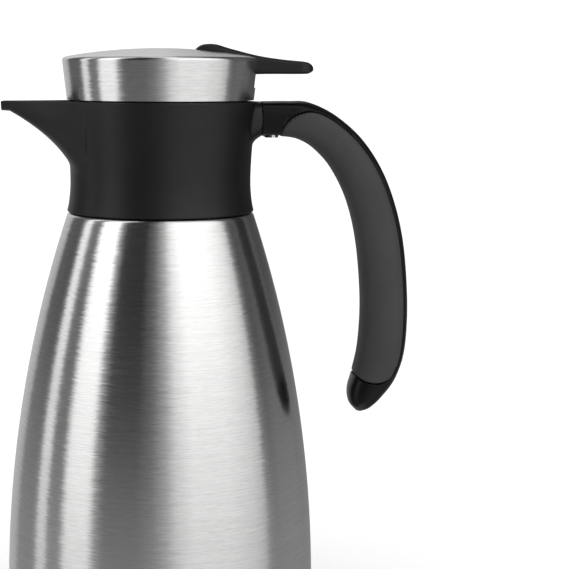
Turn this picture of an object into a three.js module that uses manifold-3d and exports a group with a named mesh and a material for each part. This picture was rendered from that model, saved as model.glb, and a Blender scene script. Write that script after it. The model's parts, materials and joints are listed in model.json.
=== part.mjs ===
// An insulated coffee jug: a double-walled steel flask with a moulded pouring collar, a hanging handle with a
// soft grip, and a push-in lid whose thumb lever lifts a spring-loaded valve.
// Millimetres, +Z up. The origin is on the flask's axis, in the plane that the jug stands on.
// The spout points to -X and the handle to +X.
import * as THREE from "three";
import { mergeVertices } from "three/addons/utils/BufferGeometryUtils.js";
import Module from "manifold-3d";

const wasm = await Module();
wasm.setup();

// ---- driving dimensions -------------------------------------------------------------------------------------
const GAP = 0.3; // clearance between pieces that touch
const ROUND = 32; // sides of a large round piece
const SMALL_ROUND = 16; // sides of a small one

// Flask
const BELLY_R = 60; // widest radius of the outer shell
const BELLY_Z = 18; // height of that widest point
const SIDE_ARC_R = 470; // radius of the long curve from belly to shoulder
const FOOT_ARC_R = 80; // radius of the curve below the belly
const SHELL_BOTTOM_Z = 3;
const SHOULDER_Z = 165.6; // where the shell turns in under the collar
const SHELL_T = 0.6; // sheet steel
const NECK_R = 31.1; // outside of the flask's neck
const NECK_TOP_Z = 189.2;
const BEAD_R = 32.7; // rolled bead that the collar hangs on
const BEAD_Z = 187.2;
const VACUUM = 4.6; // gap between the two walls
const LINER_NECK_R = 28.7; // inside of the mouth
const LINER_BOTTOM_Z = 12;

// Collar and spout
const COLLAR_BOTTOM_Z = 166.9;
const COLLAR_TOP_Z = 209.3;
const COLLAR_BORE_R = 33.5;
const CHAMBER_R = 34.2; // pouring chamber above the flask's mouth
const FLANGE_Z = [191.8, 194]; // inner flange that presses the gasket on the flask's lip
const SPOUT_ROOT = new THREE.Vector2(-36.1, 187.2); // x, z where the spout leaves the collar below
const SPOUT_BEND = new THREE.Vector2(-43.2, 197.1);
const SPOUT_LIP = new THREE.Vector2(-58.3, 205.5);
const SPOUT_TIP_X = -61.2;
const SPOUT_START_X = -28.4; // where the flanks meet the collar
const SPOUT_ROOT_HALF = 23.6; // half the spout's width at the collar
const SPOUT_TIP_HALF = 4.2;
const SPOUT_WALL = 1.9;

// Handle
const HANDLE_START_X = 39.2;
const HANDLE_HALF_DEPTH = 12;
const ARM_HALF_DEPTH = 10;
const SPINE = 1.8; // black strip left along the outside of the grip
const GRIP_T = 2.6; // thickness of the soft grip
const TONGUE = { x: 48, halfY: 6.2, z: [199.4, 205.4] };
const HANDLE_SCREW = { x: 42.8, y: 3.6, shankR: 1.3, headR: 2.6 };

// Lid
const CAP_BOTTOM = { r: 36.15, z: 209.9 };
const CAP_RIM = { r: 37.8, z: 224.2 };
const CAP_CORNER_R = 2;
const CAP_TOP_Z = 229.7;
const CAP_T = 0.6;
const SLOT = { x: 11.3, halfY: 8.3, floorZ: 214.6 };
const WELL_WALL = 1.5;
const BASE_PLATE_Z = [210.2, 213.2];
const BASE_PLATE_R = 35.1;
const STOPPER_R = 27.6;
const STOPPER_WALL = 1.8;
const STOPPER_Z = { bottom: 176.5, seatLow: 180, seat: 183, flange: 206, top: 209.8 };
const STOPPER_FLANGE_R = 33;
const WIPER_R = [31.7, 33.9]; // ring that closes the pouring chamber above
const WIPER_Z = [207, 208.6];
const SEAT_R = 11;
const GASKET_Z = [184.5, 190];
const WINDOW = { count: 6, halfWidth: 9, z: [195.5, 206] };
const LID_SCREW = { circleR: 28.9, shankR: 1.2, headR: 2.2, firstAngle: 60, count: 3 };

// Lever and valve
const PIVOT = new THREE.Vector2(17.5, 222.2); // x, z of the lever's axis, which runs along Y
const PIN_R = 1.5;
const LEVER_HALF_WIDTH = 7.6;
const LEVER_END_X = 58.9;
const STEM_R = 2;
const STEM_HEAD = { r: 5.6, z: [219.7, 222.7] };
const NOSE = { r: 1.4, z: 218 }; // rounded end of the lever's fork, under the stem's head
const SPRING = { r: 5, wire: 0.45, turns: 6, z: [188.5, 209.9] };

// ---- helpers ------------------------------------------------------------------------------------------------
// A closed three.js geometry as a manifold-3d solid that faces outwards.
function solid(geometry) {
  const plain = geometry.index ? geometry.toNonIndexed() : geometry.clone();
  for (const name of Object.keys(plain.attributes)) if (name !== "position") plain.deleteAttribute(name);
  const merged = mergeVertices(plain, 1e-4);
  const triVerts = new Uint32Array(merged.index.array);
  const vertProperties = new Float32Array(merged.attributes.position.array);
  const made = new wasm.Manifold(new wasm.Mesh({ numProp: 3, vertProperties, triVerts }));
  if (made.volume() > 0) return made;
  for (let i = 0; i < triVerts.length; i += 3)
    [triVerts[i + 1], triVerts[i + 2]] = [triVerts[i + 2], triVerts[i + 1]];
  return new wasm.Manifold(new wasm.Mesh({ numProp: 3, vertProperties, triVerts }));
}

function geometryOf(made) {
  const mesh = made.getMesh();
  const positions = new Float32Array(mesh.numVert * 3);
  for (let i = 0; i < mesh.numVert; i++)
    positions.set(mesh.vertProperties.subarray(i * mesh.numProp, i * mesh.numProp + 3), i * 3);
  const geometry = new THREE.BufferGeometry();
  geometry.setAttribute("position", new THREE.BufferAttribute(positions, 3));
  geometry.setIndex(new THREE.BufferAttribute(new Uint32Array(mesh.triVerts), 1));
  geometry.computeVertexNormals();
  return geometry;
}

const union = (...parts) => parts.reduce((whole, part) => whole.add(part));

// A profile of [radius, height] points turned about Z.
function turned(profile, sides = ROUND) {
  const points = profile.map(([r, z]) => new THREE.Vector2(r, z));
  return solid(new THREE.LatheGeometry(points, sides).rotateX(Math.PI / 2));
}

// A ring or tube of rectangular section about Z.
function ring(innerR, outerR, lowZ, highZ, sides = ROUND) {
  return turned([[innerR, lowZ], [outerR, lowZ], [outerR, highZ], [innerR, highZ], [innerR, lowZ]], sides);
}

function disc(r, lowZ, highZ, sides = ROUND) {
  return turned([[0, lowZ], [r, lowZ], [r, highZ], [0, highZ]], sides);
}

function box(low, high) {
  const size = high.map((v, i) => v - low[i]);
  const geometry = new THREE.BoxGeometry(...size);
  return solid(geometry.translate(...low.map((v, i) => v + size[i] / 2)));
}

// A round bar along Y.
function barY(r, x, z, halfLength, sides = SMALL_ROUND) {
  return solid(new THREE.CylinderGeometry(r, r, 2 * halfLength, sides).translate(x, 0, z));
}

// Joins rings of equally many points into one closed skin, with flat ends.
function loft(rings) {
  const count = rings[0].length;
  const positions = rings.flat().flatMap((p) => [p.x, p.y, p.z]);
  const index = [];
  for (let i = 0; i + 1 < rings.length; i++)
    for (let j = 0; j < count; j++) {
      const a = i * count + j;
      const b = i * count + ((j + 1) % count);
      index.push(a, b, b + count, a, b + count, a + count);
    }
  const addEnd = (at, turn) => {
    const middle = new THREE.Vector3();
    rings[at].forEach((p) => middle.addScaledVector(p, 1 / count));
    const centre = positions.length / 3;
    positions.push(middle.x, middle.y, middle.z);
    for (let j = 0; j < count; j++) {
      const a = at * count + j;
      const b = at * count + ((j + 1) % count);
      index.push(...(turn ? [centre, b, a] : [centre, a, b]));
    }
  };
  addEnd(0, true);
  addEnd(rings.length - 1, false);
  const geometry = new THREE.BufferGeometry();
  geometry.setAttribute("position", new THREE.Float32BufferAttribute(positions, 3));
  geometry.setIndex(index);
  return solid(geometry);
}

// An outline in X and Z, pushed out to both sides of the plane Y = 0.
function slabY(outline, halfWidth, bevel = 0) {
  const shape = new THREE.Shape(outline.map(([x, z]) => new THREE.Vector2(x, z)));
  const depth = 2 * (halfWidth - bevel);
  const geometry = new THREE.ExtrudeGeometry(shape, {
    depth,
    bevelEnabled: bevel > 0,
    bevelThickness: bevel,
    bevelSize: bevel,
    bevelOffset: -bevel,
    bevelSegments: 2,
  });
  return solid(geometry.translate(0, 0, -depth / 2).rotateX(Math.PI / 2));
}

// Points of a smooth curve through the given [a, b] points.
function smooth(points, count) {
  const curve = new THREE.SplineCurve(points.map(([a, b]) => new THREE.Vector2(a, b)));
  return curve.getPoints(count).map((p) => [p.x, p.y]);
}

// Points on an arc, from one angle to another in degrees.
function arc(r, z, radius, from, to, steps) {
  return Array.from({ length: steps + 1 }, (_, i) => {
    const angle = THREE.MathUtils.degToRad(from + ((to - from) * i) / steps);
    return [r + radius * Math.cos(angle), z + radius * Math.sin(angle)];
  });
}

const nearest = (value, low, high) => Math.min(Math.max(value, low), high);
const mix = THREE.MathUtils.lerp;

// ---- materials ----------------------------------------------------------------------------------------------
const finish = (color, roughness, metalness) => ({ color, roughness, metalness });
const brushedSteel = finish(0xc4c5c6, 0.32, 1);
const satinSteel = finish(0xb2b4b5, 0.42, 1);
const springSteel = finish(0x9c9ea0, 0.3, 1);
const blackPlastic = finish(0x1b1b1c, 0.45, 0);
const innerPlastic = finish(0x262728, 0.55, 0);
const softGrip = finish(0x46484a, 0.72, 0);
const silicone = finish(0x8d8f8e, 0.6, 0);
const foam = finish(0xe4e2da, 0.95, 0);

const jug = new THREE.Group();

function addPiece(name, made, look) {
  const mesh = new THREE.Mesh(geometryOf(made), new THREE.MeshStandardMaterial(look));
  mesh.name = name;
  jug.add(mesh);
  return mesh;
}

// ---- flask --------------------------------------------------------------------------------------------------
function shellRadius(z) {
  const reach = z - BELLY_Z;
  const bow = reach > 0 ? SIDE_ARC_R : FOOT_ARC_R;
  return BELLY_R - bow + Math.sqrt(bow * bow - reach * reach);
}

function sideOf(lowZ, highZ, steps, inset) {
  return Array.from({ length: steps + 1 }, (_, i) => {
    const z = mix(lowZ, highZ, i / steps);
    return [shellRadius(z) - inset, z];
  });
}

function makeOuterShell() {
  const footR = shellRadius(8) - 5;
  const corner = arc(footR, 8, 5, -90, 0, 3);
  const innerCorner = arc(footR, 8, 5 - SHELL_T, 0, -90, 2);
  return turned([
    [footR - 2, SHELL_BOTTOM_Z],
    ...corner,
    ...sideOf(17, SHOULDER_Z, 7, 0),
    [34.3, SHOULDER_Z + 0.9],
    [NECK_R + 0.6, SHOULDER_Z + 1],
    [NECK_R, SHOULDER_Z + 1.7],
    [NECK_R, BEAD_Z - 2],
    ...arc(NECK_R, BEAD_Z, BEAD_R - NECK_R, -60, 60, 2),
    [NECK_R, NECK_TOP_Z],
    [NECK_R - SHELL_T, NECK_TOP_Z],
    [NECK_R - SHELL_T, SHOULDER_Z],
    ...sideOf(17, SHOULDER_Z - 3, 3, SHELL_T).reverse(),
    ...innerCorner,
    [footR - 2, SHELL_BOTTOM_Z + SHELL_T],
    [footR - 2, SHELL_BOTTOM_Z],
  ]);
}

function makeOuterBase() {
  const edge = shellRadius(8) - SHELL_T - GAP;
  return turned([
    [0, 6],
    [7, 6],
    [9, 7.6],
    [edge - 5, 7.6],
    [edge - 0.4, 9.6],
    [edge - 0.4, 10.4],
    [edge - 5.6, 8.4],
    [8.6, 8.4],
    [6.6, 6.8],
    [0, 6.8],
  ]);
}

function makeInnerFlask() {
  const inset = SHELL_T + VACUUM;
  const cornerR = 9;
  const bottomR = shellRadius(LINER_BOTTOM_Z + cornerR) - inset - cornerR;
  const corner = (radius) => arc(bottomR, LINER_BOTTOM_Z + cornerR, radius, -90, 0, 3);
  const wall = (extra) => sideOf(LINER_BOTTOM_Z + cornerR + 8, 152, 4, inset + extra);
  const neckR = LINER_NECK_R + SHELL_T;
  return turned([
    [0, LINER_BOTTOM_Z],
    ...corner(cornerR),
    ...wall(0),
    [neckR + 1.2, 161],
    [neckR, 165],
    [neckR, NECK_TOP_Z + GAP],
    [NECK_R + 0.4, NECK_TOP_Z + GAP],
    [NECK_R + 0.4, NECK_TOP_Z + GAP + SHELL_T],
    [neckR - 0.2, NECK_TOP_Z + GAP + SHELL_T],
    [LINER_NECK_R, NECK_TOP_Z],
    [LINER_NECK_R, 165],
    [LINER_NECK_R + 1.2, 161],
    ...wall(SHELL_T).reverse(),
    ...corner(cornerR - SHELL_T).reverse(),
    [0, LINER_BOTTOM_Z + SHELL_T],
  ]);
}

addPiece("outer_shell", makeOuterShell(), brushedSteel);
addPiece("outer_base", makeOuterBase(), satinSteel);
addPiece("inner_flask", makeInnerFlask(), satinSteel);
addPiece("getter_pill", disc(4, 9.4, LINER_BOTTOM_Z - GAP, SMALL_ROUND), springSteel);

// The plastic cap in the flask's foot, and the pad that the jug stands on.
addPiece(
  "base_cap",
  turned([
    [0, 2.4],
    [46, 2.4],
    [48, 1.1],
    [50, 1.1],
    [50, 2.7],
    [48.8, 2.7],
    [48.8, 6.6],
    [47.2, 6.6],
    [47.2, 4.4],
    [0, 4.4],
  ]),
  blackPlastic,
);
addPiece("base_pad", turned([[0, 0], [43.4, 0], [44.4, 0.6], [44.4, 2.1], [0, 2.1]]), silicone);

// ---- collar -------------------------------------------------------------------------------------------------
// The spout is a wide U where it leaves the collar and narrows to a small lip. One station of it, at a given x:
function spoutFloorZ(x) {
  const curve = new THREE.QuadraticBezierCurve(SPOUT_ROOT, SPOUT_BEND, SPOUT_LIP);
  if (x <= SPOUT_LIP.x) return SPOUT_LIP.y;
  if (x >= SPOUT_ROOT.x) return SPOUT_ROOT.y;
  let low = 0;
  let high = 1;
  for (let i = 0; i < 30; i++) {
    const middle = (low + high) / 2;
    if (curve.getPoint(middle).x > x) low = middle;
    else high = middle;
  }
  return curve.getPoint(low).y;
}

function spoutHalfWidth(x) {
  const along = nearest((x - SPOUT_START_X) / (SPOUT_TIP_X - SPOUT_START_X), 0, 1);
  return mix(SPOUT_ROOT_HALF, SPOUT_TIP_HALF, along) - 2.4 * Math.sin(Math.PI * along);
}

function spoutRing(x, halfWidth, floorZ, topZ) {
  const along = nearest((x - SPOUT_START_X) / (SPOUT_TIP_X - SPOUT_START_X), 0, 1);
  const fullness = mix(2 / 3.6, 2 / 2.1, along); // a boxy U at the root, a round one at the tip
  const steps = 14;
  const below = Array.from({ length: steps + 1 }, (_, i) => {
    const angle = Math.PI * (i / steps);
    const across = -Math.sign(Math.cos(angle)) * Math.abs(Math.cos(angle)) ** fullness;
    const down = Math.sin(angle) ** fullness;
    return new THREE.Vector3(x, halfWidth * across, topZ - (topZ - floorZ) * down);
  });
  return below;
}

function makeSpout() {
  const stations = [-26.5, -32, -36.1, -38.4, -41, -45, -50, -55, SPOUT_LIP.x, SPOUT_TIP_X];
  return loft(stations.map((x) => spoutRing(x, spoutHalfWidth(x), spoutFloorZ(x), COLLAR_TOP_Z)));
}

function makeTrough() {
  const stations = [-26.5, -33, -39, -45, -52, SPOUT_TIP_X - 1];
  const floor = (x) => mix(FLANGE_Z[1] + 0.6, 207, nearest((x + 33) / (SPOUT_TIP_X + 33), 0, 1));
  const rings = stations.map((x) => spoutRing(x, spoutHalfWidth(x) - SPOUT_WALL, floor(x), COLLAR_TOP_Z));
  const open = loft(rings);
  const above = (p) => new THREE.Vector3(p.x, p.y, COLLAR_TOP_Z - 0.4 + (p.z > COLLAR_TOP_Z - 0.01 ? 4 : 0));
  const raised = loft(rings.map((r) => r.map(above)));
  return open.add(raised);
}

const armEnd = (x, topZ, lowZ, halfDepth) =>
  Array.from({ length: 16 }, (_, i) => {
    const angle = (2 * Math.PI * i) / 16;
    const power = 2 / 3.4;
    const c = Math.sign(Math.cos(angle)) * Math.abs(Math.cos(angle)) ** power;
    const s = Math.sign(Math.sin(angle)) * Math.abs(Math.sin(angle)) ** power;
    return new THREE.Vector3(x, halfDepth * s, (topZ + lowZ) / 2 + ((topZ - lowZ) / 2) * c);
  });

function makeCollar() {
  const outside = smooth(
    [[36.3, COLLAR_BOTTOM_Z], [35.6, 170.1], [35.1, 174.6], [34.95, 179.5], [35.2, 186.4], [35.65, 192.7],
      [36.5, 200.2], [37.5, 208.6]],
    9,
  );
  const body = turned([[0, COLLAR_BOTTOM_Z], ...outside, [36.9, COLLAR_TOP_Z], [0, COLLAR_TOP_Z]]);
  const stub = loft([
    armEnd(32.5, COLLAR_TOP_Z, 191.2, 12.5),
    armEnd(35.8, COLLAR_TOP_Z, 193.9, 11.6),
    armEnd(37.7, COLLAR_TOP_Z, 195.3, 10.6),
    armEnd(HANDLE_START_X - GAP, COLLAR_TOP_Z, 196, ARM_HALF_DEPTH),
  ]);
  const tongue = box([32.6, -TONGUE.halfY, TONGUE.z[0]], [TONGUE.x, TONGUE.halfY, TONGUE.z[1]]);
  const below = turned([
    [0, COLLAR_BOTTOM_Z - 1],
    [34.4, COLLAR_BOTTOM_Z - 1],
    [34.4, COLLAR_BOTTOM_Z + 0.6],
    [COLLAR_BORE_R, COLLAR_BOTTOM_Z + 1.6],
    [COLLAR_BORE_R, FLANGE_Z[0]],
    [0, FLANGE_Z[0]],
  ]);
  const mouth = disc(LINER_NECK_R + 0.4, FLANGE_Z[0] - 1, FLANGE_Z[1] + 1);
  const chamber = disc(CHAMBER_R, FLANGE_Z[1], COLLAR_TOP_Z + 1);
  let collar = union(body, makeSpout(), stub, tongue);
  for (const cut of [below, mouth, chamber, makeTrough()]) collar = collar.subtract(cut);
  for (const side of [-1, 1]) {
    const hole = disc(HANDLE_SCREW.shankR + GAP, 196, 204.4, 12);
    const pilot = hole.translate(HANDLE_SCREW.x, side * HANDLE_SCREW.y, 0);
    collar = collar.subtract(pilot);
  }
  return collar;
}

addPiece("collar", makeCollar(), blackPlastic);
const gasketZ = [NECK_TOP_Z + GAP + SHELL_T + 0.1, FLANGE_Z[0] - 0.1];
addPiece("collar_gasket", ring(LINER_NECK_R + 0.6, 33.1, ...gasketZ), silicone);
addPiece(
  "neck_lock_ring",
  turned([
    [NECK_R + GAP, 169], [33.2, 169], [33.2, 184], [32.6, 184.6], [NECK_R + GAP, 184.6], [NECK_R + GAP, 169],
  ]),
  innerPlastic,
);

// ---- handle -------------------------------------------------------------------------------------------------
// Pairs of points on the outer and inner edge of the handle, from the collar to the free end, with half depths.
const HANDLE_STATIONS = [
  { outer: [39.2, 209.4], inner: [39.2, 196], half: 10 },
  { outer: [49, 209.5], inner: [47.6, 195.8], half: 10.3 },
  { outer: [57.5, 209], inner: [53.6, 194.6], half: 10.9 },
  { outer: [68.3, 203.7], inner: [59.8, 190.8], half: 11.6 },
  { outer: [79.3, 193.6], inner: [66.6, 183], half: 12 },
  { outer: [88.2, 178.6], inner: [72.8, 170.2], half: 12 },
  { outer: [94.3, 158.1], inner: [76.7, 153.5], half: 12 },
  { outer: [96.8, 133.5], inner: [78.6, 131.7], half: 12 },
  { outer: [96.2, 113.3], inner: [77.9, 114.3], half: 11.8 },
  { outer: [92.8, 101.3], inner: [75.7, 103], half: 11.2 },
  { outer: [87.4, 93.4], inner: [73.9, 96.1], half: 9.6 },
  { outer: [82.9, 88.9], inner: [74.4, 91], half: 6.8 },
  { outer: [79.7, 87.2], inner: [76.9, 87.8], half: 2.6 },
];
const outerEdge = new THREE.SplineCurve(HANDLE_STATIONS.map((s) => new THREE.Vector2(...s.outer)));
const innerEdge = new THREE.SplineCurve(HANDLE_STATIONS.map((s) => new THREE.Vector2(...s.inner)));
const halfDepthAt = new THREE.SplineCurve(HANDLE_STATIONS.map((s, i) => new THREE.Vector2(i, s.half)));

// One section of the handle, with its outer, inner and side faces moved in by the given amounts.
function handleRing(at, { fromOuter = 0, fromInner = 0, fromSide = 0 } = {}) {
  const outer = outerEdge.getPoint(at);
  const inner = innerEdge.getPoint(at);
  const across = outer.clone().sub(inner).normalize();
  outer.addScaledVector(across, -fromOuter);
  inner.addScaledVector(across, fromInner);
  const middle = outer.clone().add(inner).multiplyScalar(0.5);
  const reach = outer.distanceTo(inner) / 2;
  const half = Math.max(halfDepthAt.getPoint(at).y - fromSide, 0.5);
  const power = mix(2 / 3.4, 2 / 2.5, nearest(at * 3, 0, 1));
  return Array.from({ length: 16 }, (_, i) => {
    const angle = (2 * Math.PI * i) / 16;
    const c = Math.sign(Math.cos(angle)) * Math.abs(Math.cos(angle)) ** power * reach;
    const s = Math.sign(Math.sin(angle)) * Math.abs(Math.sin(angle)) ** power * half;
    return new THREE.Vector3(middle.x + across.x * c, s, middle.y + across.y * c);
  });
}

function handleLoft(from, to, steps, insets) {
  return loft(Array.from({ length: steps + 1 }, (_, i) => handleRing(mix(from, to, i / steps), insets)));
}

// The side view of the grip: along the spine outside, with a round nose at the elbow and a bowed lower edge.
function gripOutline(inset) {
  const spine = Array.from({ length: 12 }, (_, i) => {
    const at = mix(0.215, 0.735, i / 11);
    const outer = outerEdge.getPoint(at);
    const across = outer.clone().sub(innerEdge.getPoint(at)).normalize();
    return outer.addScaledVector(across, -SPINE - inset).toArray();
  });
  const lower = [
    [90.4, 101.7 + inset],
    [87.7, 100.3 + inset],
    [83.7, 99.7 + inset],
    [79.6, 100.5 + inset],
    [76, 102 + inset],
  ];
  const inside = [[66, 106], [64, 140], [56, 170], [45 + inset, 186]];
  const nose = [
    [45.4 + inset, 194.2 - inset],
    [46.2 + inset, 197.7 - inset],
    [48 + inset, 201 - inset],
    [50.6 + inset, 203.6 - inset],
    [53 + inset, 205 - inset],
    [55.8, 205.8 - inset],
  ];
  return [...spine, ...lower, ...inside, ...nose];
}

const handleWhole = handleLoft(0, 1, 24, {});
const coreInsets = (extra) => ({ fromOuter: 0.9 - extra, fromInner: GRIP_T - extra, fromSide: GRIP_T - extra });

function makeHandleFrame() {
  const core = handleLoft(0.04, 0.9, 15, coreInsets(0));
  const socket = box(
    [HANDLE_START_X - 1, -TONGUE.halfY - GAP, TONGUE.z[0] - GAP],
    [TONGUE.x + GAP, TONGUE.halfY + GAP, TONGUE.z[1] + GAP],
  );
  let frame = handleWhole.subtract(slabY(gripOutline(0), 20)).add(core.intersect(handleWhole)).subtract(socket);
  for (const side of [-1, 1]) {
    const shaft = disc(HANDLE_SCREW.shankR + GAP, 190, 200, 12);
    const head = disc(HANDLE_SCREW.headR + GAP, 190, 197.4, 12);
    frame = frame.subtract(shaft.add(head).translate(HANDLE_SCREW.x, side * HANDLE_SCREW.y, 0));
  }
  return frame;
}

function makeGrip() {
  const pocket = handleLoft(0.03, 0.95, 15, coreInsets(GAP));
  return handleWhole.intersect(slabY(gripOutline(GAP), 20)).subtract(pocket);
}

function makeScrew({ shankR, headR }, headZ, headT, tipZ) {
  const up = Math.sign(tipZ - headZ);
  return turned([
    [0, headZ],
    [headR, headZ],
    [headR, headZ + up * headT],
    [shankR, headZ + up * headT],
    [shankR, tipZ - up * 1.2],
    [0, tipZ],
  ], 12);
}

addPiece("handle_frame", makeHandleFrame(), blackPlastic);
addPiece("handle_grip", makeGrip(), softGrip);
for (const [name, side] of [["handle_screw_left", -1], ["handle_screw_right", 1]]) {
  const screw = addPiece(name, makeScrew(HANDLE_SCREW, 195.5, 1.6, 204), springSteel);
  screw.position.set(HANDLE_SCREW.x, side * HANDLE_SCREW.y, 0);
}

// ---- lid ----------------------------------------------------------------------------------------------------
const DOME_R = 205; // radius of the lid's shallow dome
const domeZ = (r, drop = 0) => CAP_TOP_Z - DOME_R + Math.sqrt(DOME_R * DOME_R - r * r) - drop;

// The outside of the steel cap as a solid profile, moved in by the given amount.
function capProfile(inset) {
  const cornerR = CAP_RIM.r - CAP_CORNER_R;
  const lean = ((CAP_RIM.r - CAP_BOTTOM.r) / (CAP_RIM.z - CAP_BOTTOM.z)) * 57.3;
  return [
    [CAP_BOTTOM.r - inset, CAP_BOTTOM.z],
    ...arc(cornerR, CAP_RIM.z, CAP_CORNER_R - inset, -lean, 79, 4),
    ...[30, 22, 14, 0].map((r) => [r, domeZ(r, inset)]),
  ];
}

function makeSlotCut(halfY, startX) {
  const corner = 3;
  const shape = new THREE.Shape();
  shape.moveTo(60, -halfY);
  shape.lineTo(60, halfY);
  shape.lineTo(startX + corner, halfY);
  shape.absarc(startX + corner, halfY - corner, corner, Math.PI / 2, Math.PI);
  shape.absarc(startX + corner, corner - halfY, corner, Math.PI, 1.5 * Math.PI);
  const geometry = new THREE.ExtrudeGeometry(shape, { depth: 40, bevelEnabled: false, curveSegments: 4 });
  return solid(geometry.translate(0, 0, SLOT.floorZ));
}

function makeLidCap() {
  const outside = turned([[0, CAP_BOTTOM.z], ...capProfile(0)]);
  const inside = turned([[0, CAP_BOTTOM.z - 1], [CAP_BOTTOM.r - CAP_T, CAP_BOTTOM.z - 1], ...capProfile(CAP_T)]);
  return outside.subtract(inside).subtract(makeSlotCut(SLOT.halfY, SLOT.x));
}

function onCircle(piece, radius, degrees) {
  const angle = THREE.MathUtils.degToRad(degrees);
  return piece.translate(radius * Math.cos(angle), radius * Math.sin(angle), 0);
}

const screwAngle = (_, i) => LID_SCREW.firstAngle + (i * 360) / LID_SCREW.count;
const lidScrewAngles = Array.from({ length: LID_SCREW.count }, screwAngle);

function makeLidBase() {
  const plate = disc(BASE_PLATE_R, ...BASE_PLATE_Z);
  const skirt = ring(34.3, 35.2, 209.6, BASE_PLATE_Z[1]);
  const guide = disc(4.6, BASE_PLATE_Z[0], 215.4, SMALL_ROUND);
  const springCup = ring(6.2, 7.4, 207.6, BASE_PLATE_Z[0] + 1, SMALL_ROUND);
  const wellOuter = SLOT.halfY + WELL_WALL;
  const well = box([8.4, -wellOuter, BASE_PLATE_Z[1] - 1], [CAP_RIM.r, wellOuter, CAP_TOP_Z]);
  const hollow = box([10, -SLOT.halfY, BASE_PLATE_Z[1]], [60, SLOT.halfY, CAP_TOP_Z + 1]);
  const forkWay = box([7, -6.6, 215], [12, 6.6, 227.2]);
  const underCap = turned([[0, BASE_PLATE_Z[0] - 3], ...capProfile(CAP_T + GAP).map(([r, z]) => [r, z])]);
  const doorstep = box([BASE_PLATE_R - 2, -SLOT.halfY, BASE_PLATE_Z[1] - 1], [40, SLOT.halfY, SLOT.floorZ - GAP]);
  const leverWell = well.subtract(hollow).subtract(forkWay);
  let base = union(plate, skirt, guide, springCup, leverWell, doorstep).intersect(underCap);
  for (const angle of lidScrewAngles) {
    base = base.add(onCircle(disc(3, BASE_PLATE_Z[0], 219, 12), LID_SCREW.circleR, angle));
    base = base.subtract(onCircle(disc(LID_SCREW.shankR + GAP, 200, 216.6, 12), LID_SCREW.circleR, angle));
  }
  base = base.subtract(disc(STEM_R + GAP, 200, 220, SMALL_ROUND));
  base = base.subtract(disc(3.7, 213.4, 220, SMALL_ROUND));
  return base.subtract(barY(PIN_R + 0.2, PIVOT.x, PIVOT.y, 20));
}

function makeInsulation() {
  const puck = turned([
    [10.5, BASE_PLATE_Z[1] + GAP],
    [25.4, BASE_PLATE_Z[1] + GAP],
    [25.4, domeZ(25.4, CAP_T + 0.8)],
    [10.5, domeZ(10.5, CAP_T + 0.8)],
    [10.5, BASE_PLATE_Z[1] + GAP],
  ]);
  return puck.subtract(box([0, -12.2, 200], [60, 12.2, 240]));
}

function makeStopper() {
  const inner = STOPPER_R - STOPPER_WALL;
  const { bottom, seatLow, seat, flange, top } = STOPPER_Z;
  let cup = turned([
    [SEAT_R, seatLow],
    [inner - 0.6, seatLow],
    [inner, bottom],
    [STOPPER_R - 0.8, bottom],
    [STOPPER_R, bottom + 1.2],
    [STOPPER_R, GASKET_Z[0]],
    [STOPPER_R - 1.2, GASKET_Z[0]],
    [STOPPER_R - 1.2, GASKET_Z[1]],
    [STOPPER_R, GASKET_Z[1]],
    [STOPPER_R, flange],
    [STOPPER_FLANGE_R, flange],
    [STOPPER_FLANGE_R, WIPER_Z[0] - 0.15],
    [WIPER_R[0] - 0.15, WIPER_Z[0] - 0.15],
    [WIPER_R[0] - 0.15, WIPER_Z[1] + 0.15],
    [STOPPER_FLANGE_R, WIPER_Z[1] + 0.15],
    [STOPPER_FLANGE_R, top],
    [inner, top],
    [inner, seat],
    [SEAT_R, seat],
    [SEAT_R, seatLow],
  ]);
  for (let i = 0; i < WINDOW.count; i++) {
    const cut = box([20, -WINDOW.halfWidth, WINDOW.z[0]], [32, WINDOW.halfWidth, WINDOW.z[1]]);
    cup = cup.subtract(cut.rotate([0, 0, (i * 360) / WINDOW.count]));
  }
  for (const angle of lidScrewAngles)
    cup = cup.subtract(onCircle(disc(LID_SCREW.shankR + GAP, 200, 212, 12), LID_SCREW.circleR, angle));
  return cup;
}

function makeStopperGasket() {
  const rest = STOPPER_R - 1.2 + 0.15;
  const lip = LINER_NECK_R - 0.4;
  const [low, high] = [GASKET_Z[0] + 0.2, GASKET_Z[1] - 0.2];
  return turned([
    [rest, low],
    [STOPPER_R, low],
    [lip, low + 0.5],
    [STOPPER_R, low + 1.8],
    [STOPPER_R, low + 3],
    [lip, low + 3.5],
    [STOPPER_R, low + 4.8],
    [rest, high],
    [rest, low],
  ]);
}

addPiece("lid_cap", makeLidCap(), brushedSteel);
addPiece("lid_base", makeLidBase(), innerPlastic);
addPiece("lid_insulation", makeInsulation(), foam);
addPiece("stopper", makeStopper(), innerPlastic);
addPiece("stopper_gasket", makeStopperGasket(), silicone);
addPiece("chamber_seal", ring(...WIPER_R, ...WIPER_Z), silicone);
addPiece("stem_seal", ring(STEM_R + 0.15, 3.4, 213.6, 215.2, SMALL_ROUND), silicone);
lidScrewAngles.forEach((degrees, i) => {
  const screw = addPiece(`lid_screw_${i + 1}`, makeScrew(LID_SCREW, 203.9, 1.8, 216), springSteel);
  const angle = THREE.MathUtils.degToRad(degrees);
  screw.position.set(LID_SCREW.circleR * Math.cos(angle), LID_SCREW.circleR * Math.sin(angle), 0);
});
addPiece("lever_pin", barY(PIN_R, PIVOT.x, PIVOT.y, SLOT.halfY + WELL_WALL), springSteel);

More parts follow.
